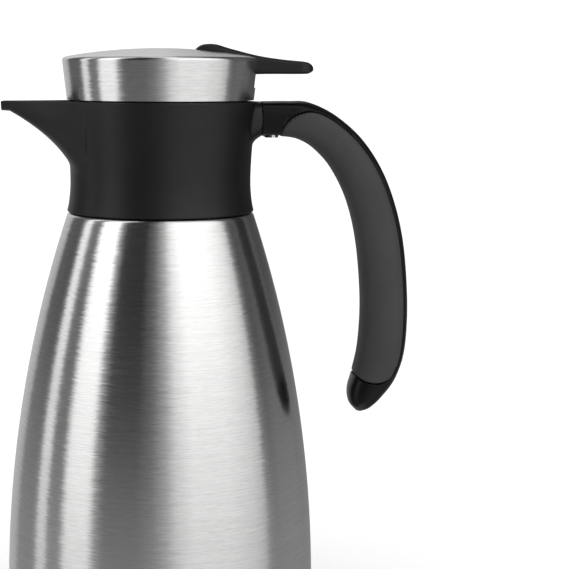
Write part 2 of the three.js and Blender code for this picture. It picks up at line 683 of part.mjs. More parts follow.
// ---- lever and valve ----------------------------------------------------------------------------------------
function makeLever() {
  const top = smooth(
    [[12.7, 228.1], [14.2, 230.1], [16.1, 231.1], [19, 231.4], [21.8, 231.1], [24.4, 230.3], [27.9, 229.3],
      [37.1, 227], [46, 225.6], [55.1, 224.7]],
    22,
  );
  const end = [[57.5, 224], [58.8, 222.9], [LEVER_END_X, 221.4], [57.6, 220.2], [54.8, 219.8]];
  const under = [[39.1, 219.8], [30, 219.3], [20, 218.9], [15, 219.4], [12.5, 221.2], [12.3, 224.6]];
  const paddle = slabY([...top, ...end, ...under], LEVER_HALF_WIDTH, 0.9);
  const planCorner = 5;
  const plan = new THREE.Shape();
  plan.moveTo(10, -LEVER_HALF_WIDTH);
  plan.lineTo(LEVER_END_X - planCorner, -LEVER_HALF_WIDTH);
  plan.absarc(LEVER_END_X - planCorner, planCorner - LEVER_HALF_WIDTH, planCorner, -Math.PI / 2, 0);
  plan.absarc(LEVER_END_X - planCorner, LEVER_HALF_WIDTH - planCorner, planCorner, 0, Math.PI / 2);
  plan.lineTo(10, LEVER_HALF_WIDTH);
  const block = new THREE.ExtrudeGeometry(plan, { depth: 40, bevelEnabled: false, curveSegments: 5 });
  const planCut = solid(block.translate(0, 0, 200));
  const prong = (side) => {
    const low = side > 0 ? 2.7 : -5.5;
    const arm = slabY([[0, NOSE.z - 1.3], [16, 219], [16, 222.6], [2, NOSE.z + 1]], 1.4);
    return arm.add(barY(NOSE.r, 0, NOSE.z, 1.4)).translate(0, low + 1.4, 0);
  };
  return union(paddle.intersect(planCut), prong(1), prong(-1)).subtract(barY(PIN_R + 0.15, PIVOT.x, PIVOT.y, 20));
}

function makeSpring() {
  const { r, wire, turns, z } = SPRING;
  const perTurn = 12;
  const count = turns * perTurn;
  const rings = Array.from({ length: count + 1 }, (_, i) => {
    const angle = (2 * Math.PI * i) / perTurn;
    const height = mix(z[0] + wire, z[1] - wire, i / count);
    const outward = new THREE.Vector3(Math.cos(angle), Math.sin(angle), 0);
    const centre = outward.clone().multiplyScalar(r).setZ(height);
    return Array.from({ length: 5 }, (_, j) => {
      const turn = (2 * Math.PI * j) / 5;
      const rise = new THREE.Vector3(0, 0, wire * Math.sin(turn));
      return centre.clone().addScaledVector(outward, wire * Math.cos(turn)).add(rise);
    });
  });
  return loft(rings);
}

addPiece("thumb_lever", makeLever(), blackPlastic);
addPiece("valve_stem", disc(STEM_R, 181.9, STEM_HEAD.z[1] + 1.5, SMALL_ROUND), springSteel);
addPiece("stem_head", ring(STEM_R + 0.15, STEM_HEAD.r, ...STEM_HEAD.z, SMALL_ROUND), innerPlastic);
addPiece(
  "valve_disc",
  turned([
    [STEM_R + 0.15, 181.9], [8.6, 181.9], [9.2, 182.6], [9.2, 185.2], [14.5, 185.2], [14.5, 186.6],
    [13, 187.6], [4.4, 188.2], [4.4, 189.8], [STEM_R + 0.15, 189.8], [STEM_R + 0.15, 181.9],
  ]),
  innerPlastic,
);
addPiece("valve_seal", ring(9.5, 15.2, STOPPER_Z.seat + 0.15, 185), silicone);
addPiece("valve_spring", makeSpring(), springSteel);

export default jug;
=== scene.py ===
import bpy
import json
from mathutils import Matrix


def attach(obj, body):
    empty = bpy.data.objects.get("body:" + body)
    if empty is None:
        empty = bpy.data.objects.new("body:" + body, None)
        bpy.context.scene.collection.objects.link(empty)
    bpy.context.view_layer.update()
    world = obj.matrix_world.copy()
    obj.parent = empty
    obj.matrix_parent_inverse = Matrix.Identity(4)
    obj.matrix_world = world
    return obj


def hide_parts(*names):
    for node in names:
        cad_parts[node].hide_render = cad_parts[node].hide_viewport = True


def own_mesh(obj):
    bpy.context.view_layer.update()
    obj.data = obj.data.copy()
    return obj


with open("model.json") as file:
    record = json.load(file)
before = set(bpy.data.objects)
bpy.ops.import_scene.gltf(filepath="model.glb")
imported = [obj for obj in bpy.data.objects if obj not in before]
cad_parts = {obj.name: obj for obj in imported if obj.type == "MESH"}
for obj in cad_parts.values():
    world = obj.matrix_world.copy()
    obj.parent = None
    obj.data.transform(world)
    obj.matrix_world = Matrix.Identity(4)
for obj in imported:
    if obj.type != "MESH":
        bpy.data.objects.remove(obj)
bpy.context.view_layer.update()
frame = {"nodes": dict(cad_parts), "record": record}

import json
import math

import bmesh
import bpy
import numpy as np
from mathutils import Matrix, Vector

MM = 0.001

# ---- dimensions ----------------------------------------------------------------------------------
# They are the frame's own, but for the rim and corner of the lid's cap, where the skin's corner is a
# little tighter.
BELLY_R, BELLY_Z, SIDE_ARC_R, FOOT_ARC_R = 60.0, 18.0, 470.0, 80.0
SHOULDER_Z, SHELL_T = 165.6, 0.6
SHELL_BOTTOM_Z, FOOT_CORNER_R = 3, 5
FOOT_CORNER_Z = SHELL_BOTTOM_Z + FOOT_CORNER_R
NECK_R, NECK_TOP_Z, BEAD_R, BEAD_Z = 31.1, 189.2, 32.7, 187.2
COLLAR_BOTTOM_Z, COLLAR_TOP_Z = 166.9, 209.3
COLLAR_BORE_R, CHAMBER_R, MOUTH_R = 33.5, 34.2, 29.1
FLANGE_Z = (191.8, 194.0)
SPOUT_START_X, SPOUT_TIP_X = -28.4, -61.2
SPOUT_ROOT, SPOUT_BEND, SPOUT_LIP = (-36.1, 187.2), (-43.2, 197.1), (-58.3, 205.5)
SPOUT_ROOT_HALF, SPOUT_TIP_HALF, SPOUT_WALL = 23.6, 4.2, 1.9
STUB_X = [32.5, 35.8, 37.7, 38.9]  # stations of the stub that carries the handle
STUB_LOW_Z = [191.2, 193.9, 195.3, 196]
STUB_HALF_Y = [12.5, 11.6, 10.6, 10]
STUB_END_X = STUB_X[-1]
TROUGH_START_X, TROUGH_START_Z, TROUGH_LIP_Z = -33, 194.6, 207
EDGE_R = 0.5  # rounding of the collar's upper and lower edge
HANDLE_SCREW_X, HANDLE_SCREW_Y, SCREW_RECESS_R, SCREW_RECESS_Z = 42.8, 3.6, 2.9, (190, 197.4)
CAP_BOTTOM, CAP_RIM, CAP_CORNER_R, CAP_TOP_Z, CAP_T = (36.15, 209.9), (37.87, 224.9), 1.4, 229.7, 0.6
DOME_R = 205.0
SLOT_X, SLOT_HALF_Y, SLOT_FLOOR_Z, SLOT_CORNER = 11.3, 8.3, 214.6, 3.0
LEVER_HALF_WIDTH, LEVER_END_X = 7.6, 58.9
LEVER_START_X, LEVER_CORNER_R, PRONG_HALF, PRONG_Y = 12.3, 5.0, 1.35, 4.1
PIVOT, PIN_HOLE_R = (17.5, 222.2), 1.65
SPRING_R, SPRING_WIRE, SPRING_TURNS, SPRING_Z = 5.0, 0.45, 6, (188.5, 209.9)


# ---- mesh helpers --------------------------------------------------------------------------------
def make_object(name, verts, faces, smooth_angle=35.0):
    mesh = bpy.data.meshes.new(name)
    mesh.from_pydata([tuple(MM * c for c in v) for v in verts], [], [tuple(f) for f in faces])
    mesh.validate()
    tidy = bmesh.new()
    tidy.from_mesh(mesh)
    bmesh.ops.remove_doubles(tidy, verts=tidy.verts, dist=1e-7)
    bmesh.ops.recalc_face_normals(tidy, faces=tidy.faces)
    tidy.to_mesh(mesh)
    tidy.free()
    obj = bpy.data.objects.new(name, mesh)
    bpy.context.scene.collection.objects.link(obj)
    shade(obj, smooth_angle)
    return obj


def shade(obj, angle=35.0):
    obj.data.shade_smooth()
    obj.data.set_sharp_from_angle(angle=math.radians(angle))


def grid_faces(rows, cols):
    """Faces of a grid of points stored row by row, where each row closes on itself."""
    return [
        (r * cols + c, r * cols + (c + 1) % cols, (r + 1) * cols + (c + 1) % cols, (r + 1) * cols + c)
        for r in range(rows - 1)
        for c in range(cols)
    ]


def tube_object(name, rings, smooth_angle=35.0):
    """A closed skin through rings of equally many points, with a fan at each end."""
    rings = np.asarray(rings, float)
    rows, cols = rings.shape[:2]
    verts = [tuple(p) for p in rings.reshape(-1, 3)]
    faces = grid_faces(rows, cols)
    for row in (0, rows - 1):
        centre = len(verts)
        verts.append(tuple(rings[row].mean(0)))
        for c in range(cols):
            faces.append((row * cols + c, row * cols + (c + 1) % cols, centre))
    return make_object(name, verts, faces, smooth_angle)


def turned_object(name, profile, segments=192, smooth_angle=35.0):
    """A closed profile of [radius, height] points turned about Z. Points on the axis become poles."""
    angles = np.linspace(0, 2 * math.pi, segments, endpoint=False)
    verts, index = [], []
    for r, z in profile:
        if r < 1e-6:
            index.append([len(verts)] * segments)
            verts.append((0, 0, z))
        else:
            index.append(list(range(len(verts), len(verts) + segments)))
            verts.extend((r * math.cos(a), r * math.sin(a), z) for a in angles)
    faces = []
    count = len(profile)
    closed = profile[0][0] > 1e-6
    for i in range(count if closed else count - 1):
        a, b = index[i], index[(i + 1) % count]
        for s in range(segments):
            t = (s + 1) % segments
            face = list(dict.fromkeys((a[s], a[t], b[t], b[s])))
            if len(face) > 2:
                faces.append(face)
    return make_object(name, verts, faces, smooth_angle)


def arc(r, z, radius, start, end, steps):
    angles = np.radians(np.linspace(start, end, steps + 1))
    return [(r + radius * math.cos(a), z + radius * math.sin(a)) for a in angles]


def rounded(profile, radius, steps=3):
    """The open profile with its corners rounded off, wherever both neighbours are far enough away."""
    out = []
    for i, point in enumerate(profile):
        here = np.array(point, float)
        if i in (0, len(profile) - 1):
            out.append(tuple(here))
            continue
        before, after = np.array(profile[i - 1], float), np.array(profile[i + 1], float)
        a, b = before - here, after - here
        la, lb = np.linalg.norm(a), np.linalg.norm(b)
        if min(la, lb) < 1e-6 or abs(a @ b / (la * lb)) > 0.94:
            out.append(tuple(here))
            continue
        cut = min(radius, 0.45 * la, 0.45 * lb)
        start, end = here + a / la * cut, here + b / lb * cut
        for t in np.linspace(0, 1, steps + 1):
            out.append(tuple((1 - t) ** 2 * start + 2 * t * (1 - t) * here + t * t * end))
    return out


def cut_away(obj, cutter):
    """Cuts the cutter's shape out of the piece and removes the cutter."""
    modifier = obj.modifiers.new("cut", "BOOLEAN")
    modifier.operation, modifier.object, modifier.solver = "DIFFERENCE", cutter, "EXACT"
    dependency = bpy.context.evaluated_depsgraph_get()
    result = bpy.data.meshes.new_from_object(obj.evaluated_get(dependency))
    obj.modifiers.clear()
    obj.data = result
    bpy.data.objects.remove(cutter, do_unlink=True)
    shade(obj)


def joined(name, objects):
    merged = bmesh.new()
    for obj in objects:
        merged.from_mesh(obj.data)
    mesh = bpy.data.meshes.new(name)
    merged.to_mesh(mesh)
    merged.free()
    for obj in objects:
        bpy.data.objects.remove(obj, do_unlink=True)
    whole = bpy.data.objects.new(name, mesh)
    bpy.context.scene.collection.objects.link(whole)
    shade(whole)
    return whole


def spline(points, t):
    """Uniform Catmull-Rom curve through the points at t from 0 to 1."""
    points = np.asarray(points, float)
    at = np.clip(np.asarray(t, float), 0, 1) * (len(points) - 1)
    i = np.minimum(at.astype(int), len(points) - 2)
    f = (at - i)[:, None]
    p0, p1 = points[np.maximum(i - 1, 0)], points[i]
    p2, p3 = points[i + 1], points[np.minimum(i + 2, len(points) - 1)]
    square, cube = (2 * p0 - 5 * p1 + 4 * p2 - p3) * f**2, (3 * p1 - p0 - 3 * p2 + p3) * f**3
    return 0.5 * (2 * p1 + (p2 - p0) * f + square + cube)


def smoothstep(low, high, value):
    t = np.clip((value - low) / (high - low), 0, 1)
    return t * t * (3 - 2 * t)


# ---- materials -----------------------------------------------------------------------------------
GRAIN_DEPTH = 0.00001  # metres


class Nodes:
    """Short calls for building one material's node tree."""

    def __init__(self, name):
        self.material = bpy.data.materials.new(name)
        self.material.use_nodes = True
        self.tree = self.material.node_tree
        self.shader = self.tree.nodes["Principled BSDF"]

    def add(self, kind, inputs=None, **settings):
        node = self.tree.nodes.new(kind)
        for key, value in settings.items():
            setattr(node, key, value)
        for key, value in (inputs or {}).items():
            self.put(node.inputs[key], value)
        return node

    def put(self, socket, value):
        if isinstance(value, bpy.types.NodeSocket):
            self.tree.links.new(value, socket)
        else:
            socket.default_value = value

    def set(self, **inputs):
        for key, value in inputs.items():
            self.put(self.shader.inputs[key.replace("_", " ")], value)

    def noise(self, scale, detail, roughness=0.55, stretch=(1, 1, 1)):
        place = self.add("ShaderNodeTexCoord").outputs["Object"]
        mapped = self.add("ShaderNodeMapping", {"Vector": place, "Scale": stretch})
        made = self.add(
            "ShaderNodeTexNoise",
            {"Vector": mapped.outputs[0], "Scale": scale, "Detail": detail, "Roughness": roughness},
        )
        return made.outputs["Fac"]

    def streaks(self, around, across):
        """Noise drawn out round the Z axis, on sides and on flat tops alike."""
        place = self.add("ShaderNodeTexCoord").outputs["Object"]
        level = self.add("ShaderNodeVectorMath", {0: place, 1: (1, 1, 0)}, operation="MULTIPLY")
        level = level.outputs[0]
        radius = self.add("ShaderNodeVectorMath", {0: level}, operation="LENGTH").outputs["Value"]
        height = self.add("ShaderNodeSeparateXYZ", {0: place}).outputs[2]
        run = self.add("ShaderNodeMath", {0: height, 1: radius}, operation="SUBTRACT").outputs[0]
        lines = self.add("ShaderNodeMath", {0: run, 1: across}, operation="MULTIPLY").outputs[0]
        spread = self.add("ShaderNodeVectorMath", {0: level, "Scale": around}, operation="SCALE")
        flat = self.add("ShaderNodeSeparateXYZ", {0: spread.outputs[0]}).outputs
        where = self.add("ShaderNodeCombineXYZ", {0: flat[0], 1: flat[1], 2: lines}).outputs[0]
        made = self.add(
            "ShaderNodeTexNoise",
            {"Vector": where, "Scale": 1.0, "Detail": 3.0, "Roughness": 0.6},
        )
        return made.outputs["Fac"]

    def remap(self, value, low, high, from_low=0.25, from_high=0.75):
        made = self.add(
            "ShaderNodeMapRange",
            {"Value": value, "From Min": from_low, "From Max": from_high, "To Min": low, "To Max": high},
        )
        return made.outputs[0]

    def tint(self, factor, dark, light):
        made = self.add("ShaderNodeMix", {0: factor}, data_type="RGBA")
        self.put(made.inputs[6], (*dark, 1))
        self.put(made.inputs[7], (*light, 1))
        return made.outputs[2]

    def bump(self, height, distance, strength, normal=None):
        inputs = {"Height": height, "Distance": distance, "Strength": strength}
        if normal:
            inputs["Normal"] = normal
        return self.add("ShaderNodeBump", inputs).outputs[0]


def brushed_steel(name, light, dark, low_rough, high_rough, comb):
    """Steel brushed round its own axis: fine streaks run round, and reflections smear up and down."""
    n = Nodes(name)
    fine = n.streaks(260, 2700)
    broad = n.streaks(30, 1900)
    patch = n.noise(18.0, 3.0)
    mixed = {0: fine, 1: 0.75, 2: n.remap(broad, 0, 0.25)}
    streak = n.add("ShaderNodeMath", mixed, operation="MULTIPLY_ADD").outputs[0]
    n.set(Base_Color=n.tint(n.remap(streak, 0, 1, 0.25, 0.7), dark, light))
    uneven = n.add("ShaderNodeMath", {0: fine, 1: patch}, operation="MULTIPLY").outputs[0]
    n.set(Roughness=n.remap(uneven, low_rough, high_rough, 0.12, 0.42))
    tangent = n.add("ShaderNodeTangent", direction_type="RADIAL", axis="Z").outputs[0]
    # Each streak leans a little its own way, which combs the edges of what it reflects.
    lean = n.remap(n.streaks(180, 2700), -comb, comb)
    sideways = n.add("ShaderNodeVectorMath", {0: tangent, "Scale": lean}, operation="SCALE")
    grooved = n.bump(fine, GRAIN_DEPTH, 0.35)
    leaning = n.add("ShaderNodeVectorMath", {0: grooved, 1: sideways.outputs[0]}, operation="ADD")
    normal = n.add("ShaderNodeVectorMath", {0: leaning.outputs[0]}, operation="NORMALIZE").outputs[0]
    n.set(Metallic=1.0, Anisotropic=0.9, Anisotropic_Rotation=0.25, Tangent=tangent, Normal=normal)
    return n.material


def satin_metal(name, light, dark, low_rough, high_rough, scale=(1, 1, 1)):
    n = Nodes(name)
    grain = n.noise(900.0, 4.0, 0.6, scale)
    n.set(Base_Color=n.tint(grain, dark, light), Metallic=1.0)
    n.set(Roughness=n.remap(n.noise(60.0, 3.0), low_rough, high_rough))
    n.set(Normal=n.bump(grain, GRAIN_DEPTH, 0.4))
    return n.material


def moulded(name, light, dark, low_rough, high_rough, grain_size, grain_depth=0.000012, ior=1.42):
    """A moulded plastic or rubber skin: a fine eroded grain, with soft patches of wear."""
    n = Nodes(name)
    grain = n.noise(1 / grain_size, 2.0, 0.6)
    patch = n.noise(45.0, 4.0, 0.6)
    n.set(Base_Color=n.tint(n.remap(patch, 0, 1), dark, light))
    n.set(Roughness=n.remap(n.noise(70.0, 5.0, 0.65), low_rough, high_rough))
    ripple = n.bump(n.noise(160.0, 2.0), GRAIN_DEPTH, 0.25)
    n.set(Normal=n.bump(grain, grain_depth, 0.6, ripple), IOR=ior)
    return n.material


def grey(value, warm=0.0):
    return (value * (1 + warm), value, value * (1 - warm))


# Each call gives the light and dark tone, the lowest and highest roughness, and then the grain.
BRUSHED = brushed_steel("brushed_steel", grey(0.96, 0.004), grey(0.76, 0.004), 0.16, 0.23, 0.022)
LINER = satin_metal("satin_steel", grey(0.72), grey(0.6), 0.24, 0.36, (0.2, 0.2, 1))
SPRING = satin_metal("spring_steel", grey(0.7), grey(0.55), 0.18, 0.3)
BLACK = moulded("black_plastic", grey(0.0085), grey(0.0055), 0.33, 0.43, 0.00016)
HANDLE_BLACK = moulded(
    "handle_black", grey(0.0035), grey(0.0022), 0.26, 0.36, 0.0002, 0.000006, 1.33
)
INNER = moulded("inner_plastic", grey(0.016), grey(0.011), 0.42, 0.55, 0.00025)
GRIP = moulded("soft_grip", grey(0.044, 0.02), grey(0.034, 0.02), 0.52, 0.64, 0.0003, 0.00002)
SILICONE = moulded("silicone", grey(0.3, 0.01), grey(0.25, 0.01), 0.4, 0.52, 0.0004, 0.00001)
FOAM = moulded("foam", (0.8, 0.78, 0.71), (0.7, 0.68, 0.61), 0.85, 0.95, 0.0009, 0.00012)


def dress(obj, body, nodes, material):
    """Puts a piece on its body, in the place of CAD nodes, with its finish."""
    obj.data.materials.clear()
    obj.data.materials.append(material)
    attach(obj, body)
    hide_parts(*nodes)
    return obj


# ---- flask ---------------------------------------------------------------------------------------
def shell_radius(z):
    bow = SIDE_ARC_R if z > BELLY_Z else FOOT_ARC_R
    return BELLY_R - bow + math.sqrt(bow * bow - (z - BELLY_Z) ** 2)


def side_of(low, high, steps, inset=0.0):
    return [(shell_radius(z) - inset, z) for z in np.linspace(low, high, steps + 1)]


def make_shell():
    foot = shell_radius(FOOT_CORNER_Z) - FOOT_CORNER_R
    profile = [
        (foot - 3, SHELL_BOTTOM_Z),
        *arc(foot, FOOT_CORNER_Z, FOOT_CORNER_R, -90, 0, 10),
        *side_of(11, SHOULDER_Z - 0.3, 64),
        (35.95, SHOULDER_Z + 0.45),
        (35.3, SHOULDER_Z + 0.85),
        (34.3, SHOULDER_Z + 1.0),
        (NECK_R + 0.6, SHOULDER_Z + 1.1),
        (NECK_R, SHOULDER_Z + 1.8),
        (NECK_R, BEAD_Z - 2),
        *arc(NECK_R, BEAD_Z, BEAD_R - NECK_R, -60, 60, 6),
        (NECK_R, NECK_TOP_Z),
        (NECK_R - SHELL_T, NECK_TOP_Z),
        (NECK_R - SHELL_T, SHOULDER_Z),
        *side_of(17, SHOULDER_Z - 3, 16, SHELL_T)[::-1],
        *arc(foot, FOOT_CORNER_Z, FOOT_CORNER_R - SHELL_T, 0, -90, 4),
        (foot - 3, SHELL_BOTTOM_Z + SHELL_T),
    ]
    return turned_object("shell_skin", profile, 256, 40)


def make_foot():
    cap = [
        (0, 2.5), (43.2, 2.5), (44.7, 2.4), (46.2, 2.2), (48, 1.2), (50, 1.2), (50, 2.7), (48.8, 2.7),
        (48.8, 6.5), (47.3, 6.5), (47.3, 4.4), (0, 4.4),
    ]
    return turned_object("foot_cap", rounded(cap, 0.35), 160)


def make_pad():
    grooves = []
    for r in (10, 18, 26, 34):
        grooves += [(r - 0.9, 0), (r - 0.5, 0.5), (r + 0.5, 0.5), (r + 0.9, 0)]
    profile = [(0, 0), *grooves, (43.4, 0), (44.3, 0.6), (44.3, 2.1), (0, 2.1)]
    return turned_object("foot_pad", rounded(profile, 0.3), 160)


dress(make_shell(), "carafe", ["outer_shell"], BRUSHED)
dress(make_foot(), "carafe", ["base_cap"], BLACK)
dress(make_pad(), "carafe", ["base_pad"], SILICONE)


# ---- collar with its spout -----------------------------------------------------------------------
COLLAR_SIDE = [
    (36.3, COLLAR_BOTTOM_Z), (35.6, 170.1), (35.1, 174.6), (34.95, 179.5), (35.2, 186.4),
    (35.65, 192.7), (36.5, 200.2), (37.55, COLLAR_TOP_Z),
]


def spout_along(x):
    return np.clip((x - SPOUT_START_X) / (SPOUT_TIP_X - SPOUT_START_X), 0, 1)


def spout_half(x):
    along = spout_along(x)
    return SPOUT_ROOT_HALF + (SPOUT_TIP_HALF - SPOUT_ROOT_HALF) * along - 2.4 * np.sin(math.pi * along)


def spout_underside(x):
    t = np.linspace(0, 1, 200)
    corners = zip(SPOUT_ROOT, SPOUT_BEND, SPOUT_LIP)
    bend = [(1 - t) ** 2 * a + 2 * t * (1 - t) * b + t * t * c for a, b, c in corners]
    slope = (SPOUT_BEND[1] - SPOUT_ROOT[1]) / (SPOUT_BEND[0] - SPOUT_ROOT[0])
    curve = np.interp(-x, -bend[0], bend[1])
    return np.where(x > SPOUT_ROOT[0], SPOUT_ROOT[1] + slope * (x - SPOUT_ROOT[0]), curve)


def trough_floor(x):
    along = (x - TROUGH_START_X) / (SPOUT_TIP_X - TROUGH_START_X)
    return TROUGH_START_Z + (TROUGH_LIP_Z - TROUGH_START_Z) * along


def reach(angle, z, inside):
    """How far a ray from the axis, at an angle from its own main direction, stays inside a region."""
    low, high = np.zeros_like(z), np.full_like(z, 80.0)
    for _ in range(30):
        middle = (low + high) / 2
        hit = inside(middle * np.cos(angle), middle * np.abs(np.sin(angle)), z)
        low, high = np.where(hit, middle, low), np.where(hit, high, middle)
    return low


def in_channel(out, across, z, floor, half, end_x):
    """Inside a channel below the collar's top: a boxy U at the root and a round one at the tip."""
    depth = np.clip((COLLAR_TOP_Z - z) / (COLLAR_TOP_Z - floor), 0, None)
    power = 3.6 - 1.5 * spout_along(-out)
    width = half * np.clip(1 - depth**power, 0, None) ** (1 / power)
    return (out > 0) & (across < width) & (depth < 1) & (-out > end_x)


def in_spout(out, across, z):
    return in_channel(out, across, z, spout_underside(-out), spout_half(-out), SPOUT_TIP_X)


def in_trough(out, across, z):
    half = spout_half(-out) - SPOUT_WALL
    return in_channel(out, across, z, trough_floor(-out), half, SPOUT_TIP_X - 6)


def in_stub(out, across, z):
    low = np.interp(out, STUB_X, STUB_LOW_Z)
    half = np.interp(out, STUB_X, STUB_HALF_Y)
    middle = (COLLAR_TOP_Z + low) / 2
    height = np.abs(z - middle) / (COLLAR_TOP_Z - middle)
    width = half * np.clip(1 - height**3.4, 0, None) ** (1 / 3.4)
    return (out > 0) & (across < width) & (height < 1) & (out < STUB_END_X)


def blend_out(a, b, soft):
    """The larger of two radii, with a fillet where they cross."""
    near = np.clip(soft - np.abs(a - b), 0, None) / soft
    return np.maximum(a, b) + near * near * soft / 4


def polar_object(name, angles, heights, radius):
    rings = []
    for row, z in enumerate(heights):
        rings.append([(r * math.cos(a), r * math.sin(a), z) for a, r in zip(angles, radius[row])])
    return tube_object(name, rings)


def polar_angles():
    near_spout = np.concatenate([np.arange(0, 9, 0.3), np.arange(9, 50, 0.8)])
    near_arm = np.arange(0, 26, 0.9)
    sides = np.arange(26, 130, 1.8)
    degrees = [180 - near_spout, 180 + near_spout, near_arm, 360 - near_arm, sides, -sides]
    degrees = np.unique(np.round(np.concatenate(degrees) % 360, 3))
    return np.radians(degrees)


def make_collar():
    angles = polar_angles()
    heights = np.unique(np.round(np.concatenate([
        COLLAR_BOTTOM_Z + np.array([0, 0.08, 0.2, 0.35, 0.5]),
        np.arange(168.4, 185, 1.2),
        np.arange(185, 205, 0.45),
        np.arange(205, 208.7, 0.22),
        COLLAR_TOP_Z - np.array([0.55, 0.38, 0.24, 0.12, 0.04, 0]),
    ]), 3))
    a, z = np.meshgrid(angles, heights)
    side = np.array(COLLAR_SIDE)
    table = spline(side, np.linspace(0, 1, 400))
    collar = np.interp(z, table[:, 1], table[:, 0])
    radius = blend_out(collar, reach(a - math.pi, z, in_spout), 1.3)
    radius = blend_out(radius, reach(a, z, in_stub), 1.8)
    top = np.clip((z - (COLLAR_TOP_Z - 0.55)) / 0.55, 0, 1)
    bottom = np.clip((COLLAR_BOTTOM_Z + EDGE_R - z) / EDGE_R, 0, 1)
    radius = radius - EDGE_R * (1 - np.sqrt(1 - top**2)) - EDGE_R * (1 - np.sqrt(1 - bottom**2))
    collar = polar_object("collar_skin", angles, heights, radius)

    inner_heights = np.concatenate([[FLANGE_Z[1]], np.arange(194.6, COLLAR_TOP_Z + 0.2, 0.4), [211.0]])
    a, z = np.meshgrid(angles, inner_heights)
    trough = reach(a - math.pi, np.minimum(z, COLLAR_TOP_Z), in_trough)
    room = np.maximum(np.full_like(z, CHAMBER_R), trough)
    cut_away(collar, polar_object("cut", angles, inner_heights, room))
    bore = [
        (0, COLLAR_BOTTOM_Z - 1), (34.4, COLLAR_BOTTOM_Z - 1), (34.4, COLLAR_BOTTOM_Z + 0.6),
        (COLLAR_BORE_R, COLLAR_BOTTOM_Z + 1.6), (COLLAR_BORE_R, FLANGE_Z[0]),
        (MOUTH_R + 0.2, FLANGE_Z[0]), (MOUTH_R, FLANGE_Z[0] + 0.3), (MOUTH_R, FLANGE_Z[1] - 0.4),
        (MOUTH_R + 0.6, FLANGE_Z[1] + 0.2), (0, FLANGE_Z[1] + 0.2),
    ]
    cut_away(collar, turned_object("cut", bore, 192))
    return collar


dress(make_collar(), "carafe", ["collar"], BLACK)

# ---- handle --------------------------------------------------------------------------------------
# Outer edge, inner edge (x, z) and half depth at each station, from the collar to the free end.
HANDLE = [
    ((39.2, 209.4), (39.2, 196), 10),
    ((49, 209.5), (47.6, 195.8), 10.3),
    ((57.5, 209), (53.6, 194.6), 10.9),
    ((68.3, 203.7), (59.8, 190.8), 11.6),
    ((79.3, 193.6), (66.6, 183), 12),
    ((88.2, 178.6), (72.8, 170.2), 12),
    ((94.3, 158.1), (76.7, 153.5), 12),
    ((96.8, 133.5), (78.6, 131.7), 12),
    ((96.2, 113.3), (77.9, 114.3), 11.8),
    ((92.8, 101.3), (75.7, 103), 11.2),
    ((87.4, 93.4), (73.9, 96.1), 9.6),
    ((82.9, 88.9), (74.4, 91), 6.8),
    ((79.7, 87.2), (76.9, 87.8), 2.6),
]
HANDLE_AROUND = 112
GRIP_GAP, POCKET_DEPTH, GRIP_SUNK = 0.3, 1.3, 1.6
GRIP_LOWER_EDGE = [
    (92.4, 106), (90.6, 102.2), (87.7, 100.3), (83.7, 99.6), (79.6, 100.4), (76, 102.2), (70, 107),
]
GRIP_NOSE = [
    (44, 190), (45.3, 194.2), (46.2, 197.7), (48, 201), (50.6, 203.6), (53.4, 205.1), (57, 205.9),
    (61, 205.4),
]


def handle_rings(t):
    """Points of the handle's skin, and how far each lies from the middle of its section."""
    outer = spline([s[0] for s in HANDLE], t)
    inner = spline([s[1] for s in HANDLE], t)
    half = spline([(s[2], 0) for s in HANDLE], t)[:, 0]
    across = outer - inner
    size = np.linalg.norm(across, axis=1)
    across /= size[:, None]
    middle = (outer + inner) / 2
    around = np.linspace(0, 2 * math.pi, HANDLE_AROUND, endpoint=False)
    around = around + 0.12 * np.sin(4 * around)  # evens out the points on the rounded corners
    power = (2 / 3.4 + (2 / 2.5 - 2 / 3.4) * np.clip(t * 3, 0, 1))[:, None]
    c = np.sign(np.cos(around)) * np.abs(np.cos(around)) ** power * (size / 2)[:, None]
    s = np.sign(np.sin(around)) * np.abs(np.sin(around)) ** power * half[:, None]
    points = np.stack([middle[:, :1] + across[:, :1] * c, s, middle[:, 1:] + across[:, 1:] * c], axis=2)
    centres = np.stack([middle[:, 0], np.zeros(len(t)), middle[:, 1]], axis=1)
    return points, centres


def skin_normals(points, centres):
    along = np.gradient(points, axis=0)
    around = np.roll(points, -1, axis=1) - np.roll(points, 1, axis=1)
    normal = np.cross(along, around)
    normal /= np.linalg.norm(normal, axis=2, keepdims=True) + 1e-12
    outwards = np.sum(normal * (points - centres[:, None]), axis=2, keepdims=True)
    return normal * np.where(outwards < 0, -1, 1)


def grip_outline():
    t = np.linspace(0.235, 0.735, 60)
    outer, inner = spline([s[0] for s in HANDLE], t), spline([s[1] for s in HANDLE], t)
    across = outer - inner
    across /= np.linalg.norm(across, axis=1)[:, None]
    spine = outer - across * 1.9
    lower = spline(GRIP_LOWER_EDGE, np.linspace(0, 1, 40))
    nose = spline([*GRIP_NOSE, tuple(spine[0])], np.linspace(0, 1, 50))
    return np.vstack([spine, lower, [(62, 110), (60, 140), (52, 170)], nose[:-1]])


def inside_distance(outline, x, z):
    """Distance from the outline in the side view, positive inside it."""
    start, end = outline, np.roll(outline, -1, axis=0)
    best = np.full(x.shape, 1e9)
    inside = np.zeros(x.shape, bool)
    for (ax, az), (bx, bz) in zip(start, end):
        dx, dz = bx - ax, bz - az
        t = np.clip(((x - ax) * dx + (z - az) * dz) / (dx * dx + dz * dz + 1e-12), 0, 1)
        best = np.minimum(best, np.hypot(x - ax - t * dx, z - az - t * dz))
        crosses = (az > z) != (bz > z)
        with np.errstate(divide="ignore", invalid="ignore"):
            inside ^= crosses & (x < ax + (z - az) * dx / (dz if dz else 1e-12))
    return np.where(inside, best, -best)


